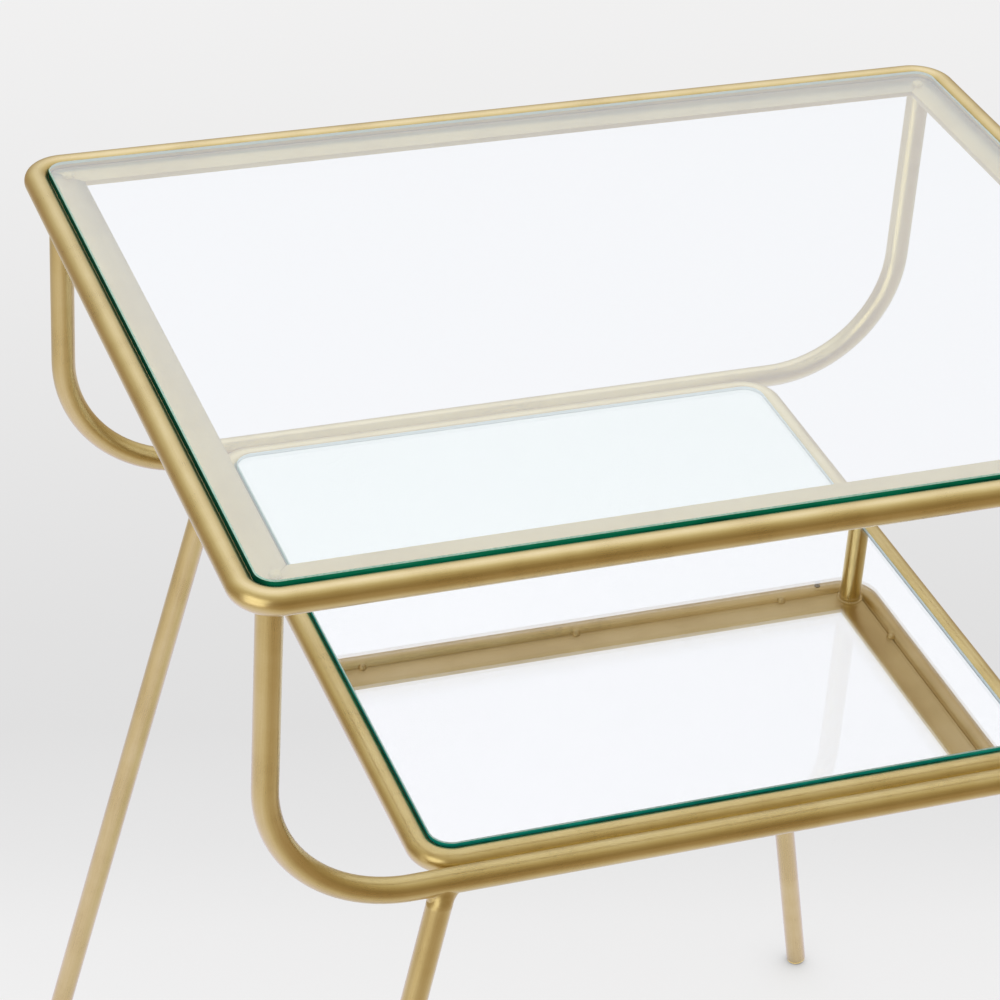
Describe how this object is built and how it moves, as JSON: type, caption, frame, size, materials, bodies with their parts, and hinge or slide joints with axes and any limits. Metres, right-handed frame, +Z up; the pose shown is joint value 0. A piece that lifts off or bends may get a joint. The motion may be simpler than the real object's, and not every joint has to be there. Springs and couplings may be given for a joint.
{
  "type": "two-tier side table",
  "caption": "Rectangular side table: a glass top in a round-tube loop, carried by U-shaped tube hoops with a mirror shelf between them, on splayed tube legs.",
  "frame": {"origin": "on the floor, under the middle of the table", "axes": "+X along the long side of the top, +Y towards the back, +Z up"},
  "size_m": [0.5444, 0.4804, 0.6882],
  "materials": {
    "antique_brass": "satin, lightly antiqued plating",
    "green_edged_glass": "clear, polished, green at the edge",
    "mirror_glass": "polished, bluish green at the edge",
    "mirror_paint": "matt backing paint",
    "clear_plastic": "clear, slightly clouded"
  },
  "bodies": {
    "frame": {"top_rail": "antique_brass", "top_ledge_front": "antique_brass", "top_ledge_back": "antique_brass", "top_ledge_left": "antique_brass", "top_ledge_right": "antique_brass", "top_ledge_tacks": "antique_brass", "front_hoop": "antique_brass", "back_hoop": "antique_brass", "hoop_end_beads": "antique_brass", "shelf_rail": "antique_brass", "shelf_ledge_front": "antique_brass", "shelf_ledge_back": "antique_brass", "shelf_ledge_left": "antique_brass", "shelf_ledge_right": "antique_brass", "shelf_ledge_tacks": "antique_brass", "shelf_seams": "antique_brass", "front_left_leg": "antique_brass", "front_right_leg": "antique_brass", "back_left_leg": "antique_brass", "back_right_leg": "antique_brass", "leg_fillets": "antique_brass", "top_bumpers": "clear_plastic", "shelf_bumpers": "clear_plastic", "front_left_glide": "clear_plastic", "front_right_glide": "clear_plastic", "back_left_glide": "clear_plastic", "back_right_glide": "clear_plastic"},
    "top_glass": {"top_glass": "green_edged_glass"},
    "shelf_mirror": {"shelf_mirror": "mirror_glass", "mirror_backing": "mirror_paint"}
  },
  "joints": [
    {"name": "glass_lift", "type": "slide", "parent": "frame", "child": "top_glass", "axis": [0, 0, 1], "range_m": [0, 0.06]},
    {"name": "mirror_lift", "type": "slide", "parent": "frame", "child": "shelf_mirror", "axis": [0, 0, 1], "range_m": [0, 0.1]}
  ]
}
